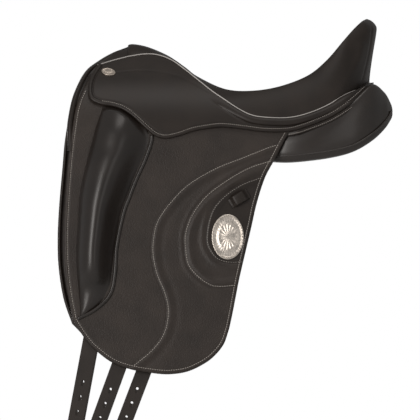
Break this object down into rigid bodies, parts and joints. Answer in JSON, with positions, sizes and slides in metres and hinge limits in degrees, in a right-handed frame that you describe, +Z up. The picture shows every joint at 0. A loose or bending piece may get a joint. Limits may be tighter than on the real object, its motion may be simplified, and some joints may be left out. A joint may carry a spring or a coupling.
{
  "type": "english saddle",
  "caption": "Dressage saddle with long straight flaps, outside knee blocks, a deep seat with a pale welt, stirrup bars and long girth billets.",
  "frame": {"origin": "the horse's back under the lowest point of the seat, level with the underside of the panels at the middle of the saddle", "axes": "+X from the pommel to the cantle, +Z up, the near side of the horse is -Y"},
  "size_m": [0.558, 0.3778, 0.7434],
  "materials": {
    "seat_leather": "smooth matt calf, very dark brown-black",
    "smooth_leather": "smooth satin leather, very dark brown-black",
    "grain_leather": "fine pebbled grain, satin, stitched edges",
    "block_leather": "smooth glossy leather over foam",
    "panel_leather": "smooth glossy leather over wool",
    "billet_leather": "smooth strap leather with dressed edges",
    "welt": "pale grey piping",
    "lining": "plain leather strip",
    "foam": "firm seat foam",
    "webbing": "woven linen webbing",
    "tree_wood": "laminated beech",
    "steel": "spring and plate steel",
    "bar_steel": "forged and polished steel",
    "silver": "satin silver-coloured metal"
  },
  "bodies": {
    "root": {"billet_webs_left": "webbing", "billet_webs_right": "webbing", "cantle_facing": "smooth_leather", "catch_pin_left": "bar_steel", "catch_pin_right": "bar_steel", "cross_webs": "webbing", "flap_tab_left": "grain_leather", "flap_tab_right": "grain_leather", "gullet_lining": "lining", "gullet_plate": "steel", "long_web": "webbing", "panel_facing_left": "smooth_leather", "panel_facing_right": "smooth_leather", "panel_left": "panel_leather", "panel_right": "panel_leather", "point_pocket_left": "smooth_leather", "point_pocket_right": "smooth_leather", "pommel_cap": "smooth_leather", "saddle_nail_left": "silver", "saddle_nail_right": "silver", "seat_cover": "seat_leather", "seat_foam": "foam", "seat_welt_left": "welt", "seat_welt_right": "welt", "skirt_edge_roll_left": "smooth_leather", "skirt_edge_roll_right": "smooth_leather", "skirt_left": "smooth_leather", "skirt_right": "smooth_leather", "spring_steel_left": "steel", "spring_steel_right": "steel", "stirrup_bar_left": "bar_steel", "stirrup_bar_right": "bar_steel", "sweat_flap_left": "smooth_leather", "sweat_flap_right": "smooth_leather", "tree_cantle": "tree_wood", "tree_head": "tree_wood", "tree_rail_left": "tree_wood", "tree_rail_right": "tree_wood", "tree_rivets": "steel"},
    "flap_left": {"flap_left": "grain_leather", "knee_block_left": "block_leather", "leather_keeper_left": "smooth_leather", "flap_ornament_left": "silver"},
    "billet_front_left": {"billet_front_left": "billet_leather"},
    "billet_middle_left": {"billet_middle_left": "billet_leather"},
    "billet_rear_left": {"billet_rear_left": "billet_leather"},
    "bar_catch_left": {"bar_catch_left": "bar_steel"},
    "flap_right": {"flap_right": "grain_leather", "knee_block_right": "block_leather", "leather_keeper_right": "smooth_leather", "flap_ornament_right": "silver"},
    "billet_front_right": {"billet_front_right": "billet_leather"},
    "billet_middle_right": {"billet_middle_right": "billet_leather"},
    "billet_rear_right": {"billet_rear_right": "billet_leather"},
    "bar_catch_right": {"bar_catch_right": "bar_steel"}
  },
  "joints": [
    {"name": "flap_lift_left", "type": "hinge", "parent": "root", "child": "flap_left", "pos_m": [-0.26, -0.0934, 0.122], "axis": [-0.9847, 0.0815, 0.1539], "range_deg": [0, 75]},
    {"name": "billet_front_swing_left", "type": "hinge", "parent": "root", "child": "billet_front_left", "pos_m": [-0.206, -0.1215, 0.02884], "axis": [0, -0.9945, 0.1045], "range_deg": [-4, 4]},
    {"name": "billet_middle_swing_left", "type": "hinge", "parent": "root", "child": "billet_middle_left", "pos_m": [-0.084, -0.11752, 0.02843], "axis": [0, -0.9945, 0.1045], "range_deg": [-4, 4]},
    {"name": "billet_rear_swing_left", "type": "hinge", "parent": "root", "child": "billet_rear_left", "pos_m": [-0.033, -0.11354, 0.02801], "axis": [0, -0.9945, 0.1045], "range_deg": [-4, 4]},
    {"name": "bar_catch_turn_left", "type": "hinge", "parent": "root", "child": "bar_catch_left", "pos_m": [-0.093, -0.10779, 0.096], "axis": [0, 0.46, 0.8879], "range_deg": [0, 88]},
    {"name": "flap_lift_right", "type": "hinge", "parent": "root", "child": "flap_right", "pos_m": [-0.26, 0.0934, 0.122], "axis": [0.9847, 0.0815, -0.1539], "range_deg": [0, 75]},
    {"name": "billet_front_swing_right", "type": "hinge", "parent": "root", "child": "billet_front_right", "pos_m": [-0.206, 0.1215, 0.02884], "axis": [0, 0.9945, 0.1045], "range_deg": [-4, 4]},
    {"name": "billet_middle_swing_right", "type": "hinge", "parent": "root", "child": "billet_middle_right", "pos_m": [-0.084, 0.11752, 0.02843], "axis": [0, 0.9945, 0.1045], "range_deg": [-4, 4]},
    {"name": "billet_rear_swing_right", "type": "hinge", "parent": "root", "child": "billet_rear_right", "pos_m": [-0.033, 0.11354, 0.02801], "axis": [0, 0.9945, 0.1045], "range_deg": [-4, 4]},
    {"name": "bar_catch_turn_right", "type": "hinge", "parent": "root", "child": "bar_catch_right", "pos_m": [-0.093, 0.10779, 0.096], "axis": [0, 0.46, -0.8879], "range_deg": [0, 88]}
  ]
}
